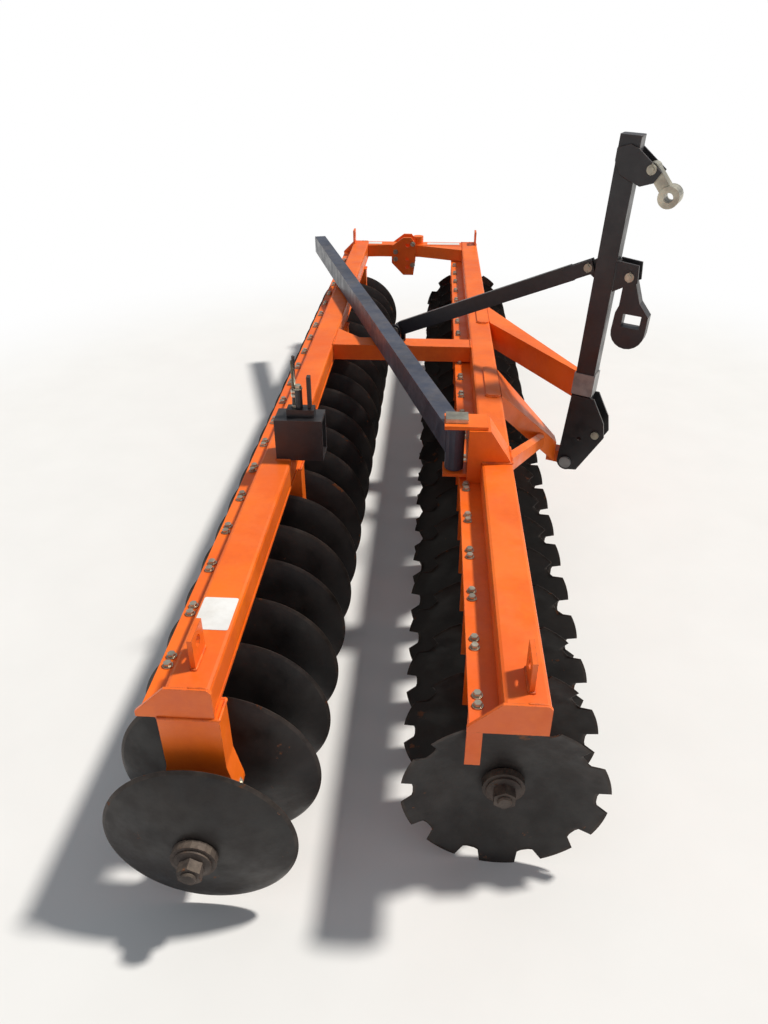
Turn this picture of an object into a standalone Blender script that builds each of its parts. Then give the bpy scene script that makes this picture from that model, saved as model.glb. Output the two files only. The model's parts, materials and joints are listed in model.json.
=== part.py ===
"""Offset disc harrow with two parallel gangs, parked on its discs with the drawbar folded up.

Metres, +Z up. While modelling, +X is forward, +Y runs along the gangs, z = 0 is the floor, and
x = y = 0 is the rim of the front gang's near disc. At the end the root empty moves everything so
that the origin is the middle of the footprint.
"""
from math import atan2, cos, hypot, pi, radians, sin

import bmesh
import bpy
from mathutils import Matrix, Vector

# Clearances
GAP = 0.0003            # between pieces that touch
PIN_PLAY = 0.0006       # round a pin that turns

# Discs and gangs
DISC_R = 0.28
END_DISC_R = 0.251      # the rear gang's near disc is a size smaller
DISC_T = 0.006
DISH = 0.056            # how far the hub stands behind the rim
HUB_FLAT_R = 0.065
DISCS = 22
PITCH = 0.205
NOTCHES = 10
NOTCH_DEPTH = 0.034
NOTCH_SHARE = 0.40      # of one notch's step round the rim
BAR_HALF = 0.018        # square axle bar
SPOOL_R = 0.0455
WASHER_R = 0.058
WASHER_T = 0.022
NUT_R = 0.033
NUT_T = 0.040
GANG_X = {"front": 0.0, "rear": -0.776}
GANG_Y = {"front": 0.0, "rear": -0.155}
DISH_SIDE = {"front": 1, "rear": -1}     # which way along Y the hub lies from the rim
CARRIED_GAPS = (0, 6, 14, 20)            # gaps between discs that hold a hanger

# Beams
BEAM_W = 0.110
BEAM_H = 0.082
BEAM_R = 0.010
BEAM_TOP = 0.735
BEAM_Y0 = -0.112
BEAM_Y1 = 4.432
BEAM_OFFSET = 0.0085    # beam's middle ahead of its gang's axle
RAIL_T = 0.008
RAIL_REACH = 0.072      # rail behind the beam
CAP_T = 0.008
CAP_PROUD = 0.0015      # end caps stand this far past the beam
RAIL_TOP = BEAM_TOP - BEAM_H - GAP
RAIL_BOTTOM = RAIL_TOP - RAIL_T

# Hangers, bearings and scrapers
HANGER_D = 0.070
HANGER_W = 0.150
FOOT_W = 0.190
FLANGE_Z = 0.370        # joint between hanger and bearing
FLANGE_T = 0.014
BEARING_D = 0.086
BEARING_R = 0.078
BORE_R = 0.0466
SCRAPER_W = 0.040
SCRAPER_T = 0.006
SCRAPER_DROP = 0.215
SCRAPER_OFF = 0.016     # from the disc's rim to the scraper
SCRAPER_BACK = 0.096    # behind the axle

# Middle crossbar and the brace's post
CROSS_Y = 2.27
CROSS_W = 0.110
CROSS_H = 0.075
POST_X = -0.400
POST_PIN_Z = 0.800
EAR_T = 0.010
EAR_IN = 0.021
EAR_W = 0.028

# Far crossbar
JOINT_X = -0.430
FAR_Y0 = 4.318
FAR_Y1 = 4.422
FAR_WIDE = {"front": 0.125, "rear": 0.020}   # extra depth where each half meets its beam
PLATE_T = 0.016
PLATE_W = 0.112
PLATE_Z = (0.528, 0.788)
PLATE_HOLES = (0.585, 0.640, 0.735)
PLATE_HOLE_R = 0.014

# Drawbar, folded up: it works in a plane turned DRAW_YAW from +X towards -Y
DRAW_YAW = radians(24)
LEAN = radians(2.5)
PIVOT_S = 0.903         # from the post's pin, along that plane
PIVOT_Z = 0.322
TUBE = 0.080
TUBE_MID = 0.012        # tube's middle ahead of the pivot
TUBE_Z0 = 0.170
TUBE_Z1 = 1.370
CHEEK_T = 0.010
PIN_R = 0.016
LUG_Z = 0.874
LUG_X = -0.062
STAND_PIVOT = (0.112, 0.868)
TONGUE_PIVOT = (0.112, 1.268)
EYE = (0.192, 1.178)
EYE_R = 0.040
EYE_HOLE_R = 0.018
EYE_LEN = 0.090

# Swing bar that sets the gangs' opening
SWING_PIN = (-0.140, 1.100)
SWING_YAW = radians(16.6)
SWING_L = 3.070
SWING_W = 0.070
SWING_H = 0.100
SWING_Z0 = 0.746
BARREL_R = 0.034
SWING_PIN_R = 0.0142

# Clamp sleeve on the rear beam
SLEEVE_X = (-0.766, -0.600)
SLEEVE_Y = (1.015, 1.117)
SLEEVE_WALL = 0.012
SLEEVE_H = 0.152

COLOURS = {             # name: (red, green, blue, roughness, metallic)
    "orange": (0.95, 0.22, 0.01, 0.45, 0.0),
    "black": (0.015, 0.013, 0.015, 0.40, 0.0),
    "blue_black": (0.035, 0.042, 0.06, 0.38, 0.0),
    "disc": (0.030, 0.022, 0.018, 0.50, 0.2),
    "cast": (0.070, 0.060, 0.055, 0.60, 0.5),
    "bare_steel": (0.40, 0.38, 0.36, 0.45, 0.8),
    "zinc": (0.60, 0.58, 0.52, 0.35, 0.9),
}

for old in list(bpy.data.objects):
    bpy.data.objects.remove(old, do_unlink=True)

PARTS = bpy.data.collections.new("disc_harrow")
CUTTERS = bpy.data.collections.new("cutters")
for group in (PARTS, CUTTERS):
    bpy.context.scene.collection.children.link(group)


def make_material(name, red, green, blue, roughness, metallic):
    material = bpy.data.materials.new(name)
    material.use_nodes = True
    shader = material.node_tree.nodes["Principled BSDF"]
    shader.inputs["Base Color"].default_value = (red, green, blue, 1)
    shader.inputs["Roughness"].default_value = roughness
    shader.inputs["Metallic"].default_value = metallic
    return material


MATERIALS = {name: make_material(name, *values) for name, values in COLOURS.items()}


def make_empty(name, parent=None, location=(0, 0, 0), rotation=(0, 0, 0)):
    empty = bpy.data.objects.new(name, None)
    PARTS.objects.link(empty)
    empty.parent = parent
    empty.location = location
    empty.rotation_euler = rotation
    return empty


def block(x, y, z):
    """Box between two values on each axis."""
    bm = bmesh.new()
    bmesh.ops.create_cube(bm, size=1)
    size = [high - low for low, high in (x, y, z)]
    middle = [(high + low) / 2 for low, high in (x, y, z)]
    bmesh.ops.scale(bm, vec=size, verts=bm.verts)
    bmesh.ops.translate(bm, vec=middle, verts=bm.verts)
    return bm


def tapered_block(start, end):
    """Box whose two end sections differ; each end is x, (low y, high y), (low z, high z)."""
    bm = block((-1, 1), (-1, 1), (-1, 1))
    for vert in bm.verts:
        x, y, z = end if vert.co.x > 0 else start
        vert.co = (x, y[vert.co.y > 0], z[vert.co.z > 0])
    return bm


def rod(start, end, radius, sides=16, turn=0.0):
    """Cylinder from start to end, turned about its own axis."""
    start, end = Vector(start), Vector(end)
    along = end - start
    bm = bmesh.new()
    bmesh.ops.create_cone(bm, cap_ends=True, segments=sides, radius1=radius, radius2=radius,
                          depth=along.length, matrix=Matrix.Rotation(turn, 4, "Z"))
    aim = Vector((0, 0, 1)).rotation_difference(along).to_matrix().to_4x4()
    bmesh.ops.transform(bm, matrix=Matrix.Translation((start + end) / 2) @ aim, verts=bm.verts)
    return bm


def around(radius, sides):
    """Corner radius of a regular outline whose flat sides stand at the given radius."""
    return radius / cos(pi / sides)


def slab(outline, across, holes=()):
    """Flat outline of (x, z) points, with round holes (x, z, radius), between two y values."""
    curve = bpy.data.curves.new("outline", "CURVE")
    curve.dimensions = "2D"
    curve.fill_mode = "BOTH"
    curve.extrude = (across[1] - across[0]) / 2
    rings = [[(x + around(r, 12) * cos(t * pi / 6), z + around(r, 12) * sin(t * pi / 6)) for t in range(12)]
             for x, z, r in holes]
    for ring in [outline, *rings]:
        spline = curve.splines.new("POLY")
        spline.points.add(len(ring) - 1)
        spline.use_cyclic_u = True
        for point, (x, z) in zip(spline.points, ring):
            point.co = (x, z, 0, 1)
    holder = bpy.data.objects.new("outline", curve)
    CUTTERS.objects.link(holder)
    shown = holder.evaluated_get(bpy.context.evaluated_depsgraph_get())
    mesh = bpy.data.meshes.new_from_object(shown)
    bm = bmesh.new()
    bm.from_mesh(mesh)
    bmesh.ops.remove_doubles(bm, verts=bm.verts, dist=0.00005)
    stand_up = Matrix.Translation((0, sum(across) / 2, 0)) @ Matrix.Rotation(pi / 2, 4, "X")
    bmesh.ops.transform(bm, matrix=stand_up, verts=bm.verts)
    bpy.data.objects.remove(holder)
    bpy.data.meshes.remove(mesh)
    return bm


def arc(x, z, radius, start, end, steps):
    """Points on an arc, angles in degrees from +x towards +z."""
    return [(x + radius * cos(radians(start + (end - start) * i / steps)),
             z + radius * sin(radians(start + (end - start) * i / steps))) for i in range(steps + 1)]


def joined(shapes):
    """One mesh from shapes that do not touch."""
    whole = bmesh.new()
    for shape in shapes:
        mesh = bpy.data.meshes.new("shape")
        shape.to_mesh(mesh)
        shape.free()
        whole.from_mesh(mesh)
        bpy.data.meshes.remove(mesh)
    return whole


def make_object(name, shape, parent, group):
    mesh = bpy.data.meshes.new(name)
    bmesh.ops.recalc_face_normals(shape, faces=shape.faces)
    shape.to_mesh(mesh)
    shape.free()
    item = bpy.data.objects.new(name, mesh)
    group.objects.link(item)
    item.parent = parent
    return item


def make_part(name, shape, colour, parent, add=(), cut=()):
    """A named part: a shape, with others joined to it and others cut from it."""
    item = make_object(name, shape, parent, PARTS)
    item.data.materials.append(MATERIALS[colour])
    for operation, tools in (("UNION", add), ("DIFFERENCE", cut)):
        for number, tool in enumerate(tools):
            other = make_object(f"{name}_{operation.lower()}_{number}", tool, parent, CUTTERS)
            other.hide_render = True
            other.display_type = "WIRE"
            modifier = item.modifiers.new(operation.title(), "BOOLEAN")
            modifier.operation = operation
            modifier.solver = "EXACT"
            modifier.object = other
    return item


# Body empties, on their joints' axes
root = make_empty("harrow")
gang_axle = {name: make_empty(f"{name}_gang_axis", root, (GANG_X[name], 0, DISC_R)) for name in GANG_X}
post = make_empty("post_axis", root, (POST_X, CROSS_Y, 0), (0, 0, -DRAW_YAW))
brace_axis = make_empty("brace_axis", post, (0, 0, POST_PIN_Z))
pivot = make_empty("drawbar_axis", post, (PIVOT_S, 0, PIVOT_Z))
drawbar = make_empty("drawbar_frame", pivot, (0, 0, 0), (0, LEAN, 0))
stand_axis = make_empty("stand_axis", drawbar, (STAND_PIVOT[0], 0, STAND_PIVOT[1]))
tongue_axis = make_empty("tongue_axis", drawbar, (TONGUE_PIVOT[0], 0, TONGUE_PIVOT[1]))
swing_axis = make_empty("swing_axis", root, (*SWING_PIN, 0), (0, 0, SWING_YAW))


# Beams, rails and end caps
def beam_sides(gang):
    middle = GANG_X[gang] + BEAM_OFFSET
    return middle - BEAM_W / 2, middle + BEAM_W / 2


def beam_outline(low, high):
    corners = ((high - BEAM_R, BEAM_TOP - BEAM_R, 0), (low + BEAM_R, BEAM_TOP - BEAM_R, 90),
               (low + BEAM_R, BEAM_TOP - BEAM_H + BEAM_R, 180),
               (high - BEAM_R, BEAM_TOP - BEAM_H + BEAM_R, 270))
    return [point for x, z, start in corners for point in arc(x, z, BEAM_R, start, start + 90, 2)]


for gang in GANG_X:
    low, high = beam_sides(gang)
    top, front = BEAM_TOP + CAP_PROUD, high + CAP_PROUD
    cap = ((low, top), (front - BEAM_R, top), (front, top - BEAM_R), (front, RAIL_BOTTOM),
           (low - RAIL_REACH - 0.006, RAIL_BOTTOM), (low - RAIL_REACH - 0.006, RAIL_TOP + 0.008))
    ends = ((BEAM_Y0, BEAM_Y0 + CAP_T), (BEAM_Y1 - CAP_T, BEAM_Y1))
    inside = (BEAM_Y0 + CAP_T / 2, BEAM_Y1 - CAP_T / 2)
    make_part(f"{gang}_beam", slab(beam_outline(low, high), inside), "orange", root,
              add=[slab(cap, end) for end in ends])

    back = GANG_X[gang] - SCRAPER_BACK
    across = (back - SCRAPER_W / 2, back + SCRAPER_W / 2)
    between = (BEAM_Y0 + CAP_T + GAP, BEAM_Y1 - CAP_T - GAP)
    blades = []
    for i in range(DISCS):
        face = GANG_Y[gang] + i * PITCH - DISH_SIDE[gang] * SCRAPER_OFF
        thick = sorted((face, face - DISH_SIDE[gang] * SCRAPER_T))
        if between[0] < thick[0] and thick[1] < between[1]:
            blades.append(block(across, thick, (RAIL_BOTTOM - SCRAPER_DROP, RAIL_BOTTOM + RAIL_T / 2)))
    make_part(f"{gang}_scraper_rail", block((low - RAIL_REACH, high), between, (RAIL_BOTTOM, RAIL_TOP)),
              "orange", root, add=[joined(blades)])


# Gangs
def disc_shape(outline, hub_side, rim_y):
    """Dished plate from a flat hub to a rim outline of (angle, radius), around the gang's axle."""
    bm = bmesh.new()
    layers = []
    for offset in (-DISC_T / 2, DISC_T / 2):
        rings = []
        hub = [(i * pi / 5, HUB_FLAT_R) for i in range(10)]
        for loop in (hub, outline):
            verts = []
            for angle, radius in loop:
                lift = DISH * (DISC_R - radius) / (DISC_R - HUB_FLAT_R)
                y = rim_y + hub_side * lift + offset
                verts.append(bm.verts.new((radius * cos(angle), y, radius * sin(angle))))
            rings.append([bm.edges.new((verts[i - 1], verts[i])) for i in range(len(verts))])
        bmesh.ops.contextual_create(bm, geom=rings[0])
        bmesh.ops.bridge_loops(bm, edges=rings[0] + rings[1])
        layers.append(rings[1])
    bmesh.ops.bridge_loops(bm, edges=layers[0] + layers[1])
    bmesh.ops.triangulate(bm, faces=bm.faces)
    bmesh.ops.recalc_face_normals(bm, faces=bm.faces)
    return bm


def notched_rim():
    """Ten notches with flat bottoms; a tooth points straight down."""
    step = 2 * pi / NOTCHES
    half = step * NOTCH_SHARE / 2
    rim = []
    for i in range(NOTCHES):
        middle = i * step
        rim += [(middle - half, DISC_R), (middle - half * 0.55, DISC_R - NOTCH_DEPTH),
                (middle + half * 0.55, DISC_R - NOTCH_DEPTH), (middle + half, DISC_R),
                (middle + step / 2, DISC_R)]
    return rim


def plain_rim(radius):
    return [(pi / 2 + i * pi / 14, radius) for i in range(28)]


def hub_places(gang):
    return [GANG_Y[gang] + i * PITCH + DISH_SIDE[gang] * DISH for i in range(DISCS)]


for gang, axle in gang_axle.items():
    hubs = hub_places(gang)
    discs = []
    for i in range(DISCS):
        end_disc = gang == "rear" and i == 0
        rim = notched_rim() if gang == "front" else plain_rim(END_DISC_R if end_disc else DISC_R)
        discs.append(disc_shape(rim, DISH_SIDE[gang], GANG_Y[gang] + i * PITCH))
    near, far = hubs[0] - DISC_T / 2, hubs[-1] + DISC_T / 2
    hole = BAR_HALF + GAP
    beyond = (near - 0.2, far + 0.2)
    make_part(f"{gang}_discs", rod((0, near - 0.001, 0), (0, far + 0.001, 0), SPOOL_R, 12), "disc", axle,
              add=[joined(discs)], cut=[block((-hole, hole), beyond, (-hole, hole))])

    near, far = near - 0.001 - GAP, far + 0.001 + GAP
    ends = []
    for y, side in ((near, -1), (far, 1)):
        outer = y + side * WASHER_T
        ends += [rod((0, y, 0), (0, outer, 0), WASHER_R, 20),
                 rod((0, outer - side * 0.001, 0), (0, outer + side * NUT_T, 0), NUT_R, 6)]
    make_part(f"{gang}_axle", block((-BAR_HALF, BAR_HALF), (near - 0.010, far + 0.010),
                                    (-BAR_HALF, BAR_HALF)), "cast", axle, add=ends)

# Hangers, with a bearing bolted under each
for gang in GANG_X:
    x = GANG_X[gang]
    hubs = hub_places(gang)
    for number, i in enumerate(CARRIED_GAPS, start=1):
        hub_mid = (hubs[i] + hubs[i + 1]) / 2
        leg_mid = hub_mid - DISH_SIDE[gang] * DISH * 0.55
        top = RAIL_BOTTOM - GAP
        leg = ((x - FOOT_W / 2, FLANGE_Z), (x + FOOT_W / 2, FLANGE_Z), (x + FOOT_W / 2, FLANGE_Z + FLANGE_T),
               (x + HANGER_W / 2, FLANGE_Z + 0.11), (x + HANGER_W / 2, top), (x - HANGER_W / 2, top),
               (x - HANGER_W / 2, FLANGE_Z + 0.11), (x - FOOT_W / 2, FLANGE_Z + FLANGE_T))
        shoe_top = FLANGE_Z + 0.002
        shoe = [*arc(x, DISC_R, BEARING_R, 180, 360, 8), (x + FOOT_W / 2 - 0.006, FLANGE_Z - FLANGE_T),
                (x + FOOT_W / 2 - 0.006, shoe_top), (x - FOOT_W / 2 + 0.006, shoe_top),
                (x - FOOT_W / 2 + 0.006, FLANGE_Z - FLANGE_T)]
        make_part(f"{gang}_hanger_{number}", slab(leg, (leg_mid - HANGER_D / 2, leg_mid + HANGER_D / 2)),
                  "orange", root,
                  add=[slab(shoe, (hub_mid - BEARING_D / 2, hub_mid + BEARING_D / 2))],
                  cut=[rod((x, hub_mid - BEARING_D, DISC_R), (x, hub_mid + BEARING_D, DISC_R),
                           BORE_R, 24, pi / 24)])

# Middle crossbar and the brace's post
rear_inner = beam_sides("rear")[1] + GAP
front_inner = beam_sides("front")[0] - GAP
cross_low = BEAM_TOP - CROSS_H
cross_y = (CROSS_Y - CROSS_W / 2, CROSS_Y + CROSS_W / 2)
flare_z = (cross_low + 0.002, BEAM_TOP - 0.002)
flare = tapered_block((rear_inner + 0.001, (CROSS_Y, CROSS_Y + 0.19), flare_z),
                      (rear_inner + 0.130, (CROSS_Y, CROSS_Y + CROSS_W / 2 - 0.005), flare_z))
make_part("middle_crossbar", block((rear_inner, front_inner), cross_y, (cross_low, BEAM_TOP)),
          "orange", root, add=[flare])

ear = [(-EAR_W, BEAM_TOP + 0.004), (EAR_W, BEAM_TOP + 0.004), *arc(0, POST_PIN_Z, EAR_W, 0, 180, 8)]
ears = [slab(ear, sorted((side * EAR_IN, side * (EAR_IN + EAR_T)))) for side in (-1, 1)]
post_pin = rod((0, -EAR_IN - EAR_T - 0.008, POST_PIN_Z), (0, EAR_IN + EAR_T + 0.008, POST_PIN_Z), 0.0100)
base_x, base_y = EAR_W - 0.002, EAR_IN + EAR_T - 0.002
make_part("brace_post", block((-base_x, base_x), (-base_y, base_y), (BEAM_TOP + GAP, BEAM_TOP + 0.012)),
          "black", post, add=[*ears, post_pin])

# Far crossbar: two halves, wider where they meet their beams, between bolted plates
halves = {"rear": (rear_inner, JOINT_X - 0.020, 0.001, JOINT_X - PLATE_W - 0.004),
          "front": (front_inner, JOINT_X + 0.020, -0.001, JOINT_X + PLATE_W / 2 + 0.004)}
far_z = (BEAM_TOP - BEAM_H, BEAM_TOP)
for gang, (beam_x, mid_x, inset, slim_x) in halves.items():
    flare_z = (far_z[0] + 0.002, far_z[1] - 0.002)
    wide = (beam_x + inset, (FAR_Y0 - FAR_WIDE[gang], FAR_Y0 + 0.05), flare_z)
    slim = (slim_x, (FAR_Y0 + 0.002, FAR_Y0 + 0.05), flare_z)
    flare = tapered_block(*((wide, slim) if beam_x < mid_x else (slim, wide)))
    boss_at = (JOINT_X + 0.075, (FAR_Y0 + FAR_Y1) / 2)
    pin_boss = rod((*boss_at, BEAM_TOP - 0.01), (*boss_at, BEAM_TOP + 0.052), 0.036, 20)
    make_part(f"{gang}_crossbar_half", block(sorted((beam_x, mid_x)), (FAR_Y0, FAR_Y1), far_z), "orange", root,
              add=[flare, pin_boss] if gang == "front" else [flare])
plate = ((JOINT_X - 0.028, PLATE_Z[0]), (JOINT_X + PLATE_W / 2 - 0.012, PLATE_Z[0]),
         (JOINT_X + PLATE_W / 2, PLATE_Z[0] + 0.09), (JOINT_X + PLATE_W / 2, PLATE_Z[1] - 0.04),
         (JOINT_X + 0.025, PLATE_Z[1]), (JOINT_X - 0.030, PLATE_Z[1]),
         (JOINT_X - PLATE_W, PLATE_Z[1] - 0.060), (JOINT_X - PLATE_W, PLATE_Z[0] + 0.085))
holes = [(JOINT_X, z, PLATE_HOLE_R) for z in PLATE_HOLES]
sides = ((FAR_Y0 - GAP - PLATE_T, FAR_Y0 - GAP), (FAR_Y1 + GAP, FAR_Y1 + GAP + PLATE_T))
for name, side in zip(("near", "far"), sides):
    make_part(f"coupling_plate_{name}", slab(plate, side, holes), "orange", root)

# Lifting lugs: gang, x, and low y of each
LUG_T, LUG_D, LUG_H = 0.012, 0.085, 0.088
LUGS = {"front": ((0.020, -0.070), (0.050, 4.335)), "rear": ((-0.768, -0.045), (-0.815, 4.335))}
for gang, places in LUGS.items():
    for end, (x, y) in zip(("near", "far"), places):
        middle = (y + LUG_D / 2, BEAM_TOP + LUG_H * 0.62)
        make_part(f"{gang}_lug_{end}", block((x - LUG_T / 2, x + LUG_T / 2), (y, y + LUG_D),
                                             (BEAM_TOP + GAP, BEAM_TOP + LUG_H)), "orange", root,
                  cut=[rod((x - LUG_T, *middle), (x + LUG_T, *middle), 0.016, 12)])

# Arms of the drawbar's frame, on the front beam's forward side
beam_front = beam_sides("front")[1] + GAP
fork_half = TUBE / 2                     # cheeks stand against the tube's sides
cheek_out = fork_half + GAP + CHEEK_T
pivot_at = Vector((POST_X, CROSS_Y, 0)) + Matrix.Rotation(-DRAW_YAW, 3, "Z") @ Vector((PIVOT_S, 0, 0))
boss_half = fork_half - 0.006
across = Vector((sin(DRAW_YAW), cos(DRAW_YAW), 0))
ahead = Vector((cos(DRAW_YAW), -sin(DRAW_YAW), 0))


def at_pivot(forward, sideways, up):
    return pivot_at + forward * ahead + sideways * across + Vector((0, 0, up))


near_tip = at_pivot(-0.072, 0, 0)
near_arm = tapered_block((beam_front, (1.640, 1.930), (0.646, BEAM_TOP)),
                         (near_tip.x, (near_tip.y - 0.038, near_tip.y + 0.030), (0.300, 0.402)))
tongue = block((-0.098, 0), (-boss_half + 0.002, boss_half - 0.002), (PIVOT_Z - 0.022, PIVOT_Z + 0.036))
bmesh.ops.transform(tongue, verts=tongue.verts,
                    matrix=Matrix.Translation((pivot_at.x, pivot_at.y, 0)) @ Matrix.Rotation(-DRAW_YAW, 4, "Z"))
boss = rod(at_pivot(0, -boss_half, PIVOT_Z), at_pivot(0, boss_half, PIVOT_Z), 0.042, 20)
bore = rod(at_pivot(0, -0.2, PIVOT_Z), at_pivot(0, 0.2, PIVOT_Z), around(PIN_R + GAP, 16))
strut = tapered_block((beam_front, (1.210, 1.280), (0.592, 0.650)), (0.285, (1.800, 1.860), (0.425, 0.472)))
make_part("near_arm", near_arm, "orange", root, add=[tongue, boss, strut], cut=[bore])

HEAD_IN = cheek_out + 0.006
HEAD_T = 0.016
far_tip = at_pivot(-0.010, HEAD_IN + HEAD_T / 2, 0)
far_arm = tapered_block((beam_front, (2.600, 2.890), (0.612, BEAM_TOP)),
                        (far_tip.x, (far_tip.y, far_tip.y + 0.070), (0.585, 0.712)))
head = slab([(-0.044, 0.020), *arc(0, 0, 0.046, 200, 340, 6), (0.060, 0.120), (0.055, 0.380),
             (-0.030, 0.380)], (HEAD_IN, HEAD_IN + HEAD_T), [(0, 0, PIN_R + GAP)])
bmesh.ops.transform(head, verts=head.verts,
                    matrix=Matrix.Translation((pivot_at.x, pivot_at.y, PIVOT_Z))
                    @ Matrix.Rotation(-DRAW_YAW, 4, "Z"))
make_part("far_arm", far_arm, "orange", root, add=[head])

pin_ends = (-cheek_out - 0.0006, HEAD_IN + HEAD_T + 0.006)
make_part("pivot_pin", rod((0, pin_ends[0] - 0.001, 0), (0, pin_ends[1], 0), PIN_R), "bare_steel", pivot,
          add=[rod((0, pin_ends[0] - 0.012, 0), (0, pin_ends[0], 0), 0.027, 20)])

# Drawbar
tube_x = (TUBE_MID - TUBE / 2, TUBE_MID + TUBE / 2)
lug = [(tube_x[0] + 0.002, LUG_Z + 0.045), *arc(LUG_X, LUG_Z, 0.022, 90, 270, 6),
       (tube_x[0] + 0.002, LUG_Z - 0.045)]
make_part("drawbar_tube", block(tube_x, (-fork_half, fork_half), (TUBE_Z0, TUBE_Z1)), "black", drawbar,
          add=[slab(lug, (-0.006, 0.006), [(LUG_X, LUG_Z, 0.0103)])])
cheek = [(tube_x[0], 0.330), (-0.041, 0.000), *arc(0, 0, 0.041, 200, 300, 5), (0.054, -0.028),
         (0.148, 0.160), (0.134, 0.228), (tube_x[1] + 0.020, 0.330)]
cheek_holes = [(0, 0, PIN_R + PIN_PLAY), (0.041, 0.130, 0.010), (0.109, 0.166, 0.0106)]
for name, side in (("near", -1), ("far", 1)):
    make_part(f"drawbar_cheek_{name}",
              slab(cheek, sorted((side * (fork_half + GAP), side * cheek_out)), cheek_holes), "black", drawbar)
make_part("lock_bolt", rod((0.109, -cheek_out - 0.010, 0.166), (0.109, cheek_out + 0.010, 0.166), 0.010),
          "zinc", drawbar, add=[rod((0.109, y, 0.166), (0.109, y + 0.010, 0.166), 0.018, 12)
                                for y in (-cheek_out - 0.010, cheek_out)])
COLLAR_Z, COLLAR_T = (0.334, 0.432), 0.005
collar_x = (tube_x[0] - GAP - COLLAR_T, tube_x[1] + GAP + COLLAR_T)
collar_y = fork_half + GAP + COLLAR_T
make_part("drawbar_collar", block(collar_x, (-collar_y, collar_y), COLLAR_Z), "bare_steel", drawbar,
          cut=[block((tube_x[0] - GAP, tube_x[1] + GAP), (-fork_half - GAP, fork_half + GAP), (0.2, 0.6))])

HITCH_T = 0.010
tongue_x, tongue_z = TONGUE_PIVOT
hitch = [(tube_x[0], 1.330), (0.020, 1.346), (0.052, 1.334), (0.150, 1.262), (0.128, 1.222),
         (0.080, 1.205), (0.000, 1.240), (tube_x[0], 1.285)]
hitch_y = fork_half + GAP
for name, side in (("near", -1), ("far", 1)):
    make_part(f"hitch_plate_{name}", slab(hitch, sorted((side * hitch_y, side * (hitch_y + HITCH_T))),
                                          [(tongue_x, tongue_z, 0.0105)]), "black", drawbar)
make_part("hitch_pin", rod((0, -hitch_y - HITCH_T - 0.012, 0), (0, hitch_y + HITCH_T + 0.012, 0), 0.0100),
          "zinc", tongue_axis)
eye = Vector((EYE[0] - tongue_x, 0, EYE[1] - tongue_z))
swing_to = atan2(eye.z, eye.x)
reach = hypot(eye.x, eye.z)
strap = block((0, reach), (-0.030, 0.030), (-0.022, 0.022))
bmesh.ops.rotate(strap, verts=strap.verts, matrix=Matrix.Rotation(-swing_to, 3, "Y"))
ring = rod((eye.x, -EYE_LEN / 2, eye.z), (eye.x, EYE_LEN / 2, eye.z), EYE_R, 24)
make_part("hitch_tongue", strap, "zinc", tongue_axis,
          add=[ring, rod((0, -0.033, 0), (0, 0.033, 0), 0.024, 16)],
          cut=[rod((eye.x, -0.1, eye.z), (eye.x, 0.1, eye.z), EYE_HOLE_R),
               rod((0, -0.1, 0), (0, 0.1, 0), 0.0106)])

# Stand under the drawbar, hanging beside it while it is folded up
stand_x, stand_z = STAND_PIVOT
STAND_HALF = 0.030
tube_front = tube_x[1] + GAP
bracket = [(tube_front + 0.002, 0.925), (0.140, 0.918), (0.148, 0.850), (0.100, 0.828),
           (tube_front + 0.002, 0.800)]
STAND_SIDE = STAND_HALF + 0.0006
brackets = [slab(bracket, sorted((side * STAND_SIDE, side * (STAND_SIDE + 0.010))),
                 [(stand_x, stand_z, 0.0106)]) for side in (-1, 1)]
make_part("stand_bracket", block((tube_front, tube_front + 0.008), (-STAND_SIDE - 0.008, STAND_SIDE + 0.008),
                                 (0.806, 0.918)), "black", drawbar, add=brackets)
make_part("stand_pin", rod((0, -STAND_HALF - 0.020, 0), (0, STAND_HALF + 0.020, 0), 0.0100), "zinc",
          stand_axis)
foot = [*arc(0, 0, 0.020, 0, 180, 6), (-0.020, -0.120), (-0.030, -0.150),
        *arc(0.036, -0.226, 0.069, 180, 360, 10), (0.105, -0.150), (0.060, -0.100)]
make_part("stand_foot", slab(foot, (-STAND_HALF, STAND_HALF), [(0, 0, 0.0106)]), "black", stand_axis,
          cut=[block((0.004, 0.078), (-0.1, 0.1), (-0.205, -0.150))])

# Brace: its fork stands clear of the drawbar's lug
lug_at = Matrix.Rotation(LEAN, 3, "Y") @ Vector((LUG_X, 0, LUG_Z)) + Vector((PIVOT_S, 0, PIVOT_Z - POST_PIN_Z))
BRACE_W, BRACE_H = 0.030, 0.064
rise = atan2(lug_at.z, lug_at.x)
span = hypot(lug_at.x, lug_at.z)
bar = block((0.020, span - 0.070), (-BRACE_W / 2, BRACE_W / 2), (-BRACE_H / 2, BRACE_H / 2))
fork = [block((span - 0.110, span + 0.022), sorted((side * 0.0118, side * 0.0220)), (-0.028, 0.028))
        for side in (-1, 1)]
brace_shapes = [bar, *fork]
for shape in brace_shapes:
    bmesh.ops.rotate(shape, verts=shape.verts, matrix=Matrix.Rotation(-rise, 3, "Y"))
make_part("brace_bar", bar, "black", brace_axis,
          add=[*fork, rod((0, 0.001 - BRACE_W / 2, 0), (0, BRACE_W / 2 - 0.001, 0), 0.026, 16)],
          cut=[rod((0, -0.1, 0), (0, 0.1, 0), 0.0106),
               rod((lug_at.x, -0.1, lug_at.z), (lug_at.x, 0.1, lug_at.z), 0.0100)])
make_part("brace_pin", rod((lug_at.x, -0.030, lug_at.z), (lug_at.x, 0.030, lug_at.z), 0.0097), "zinc",
          brace_axis)

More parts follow.
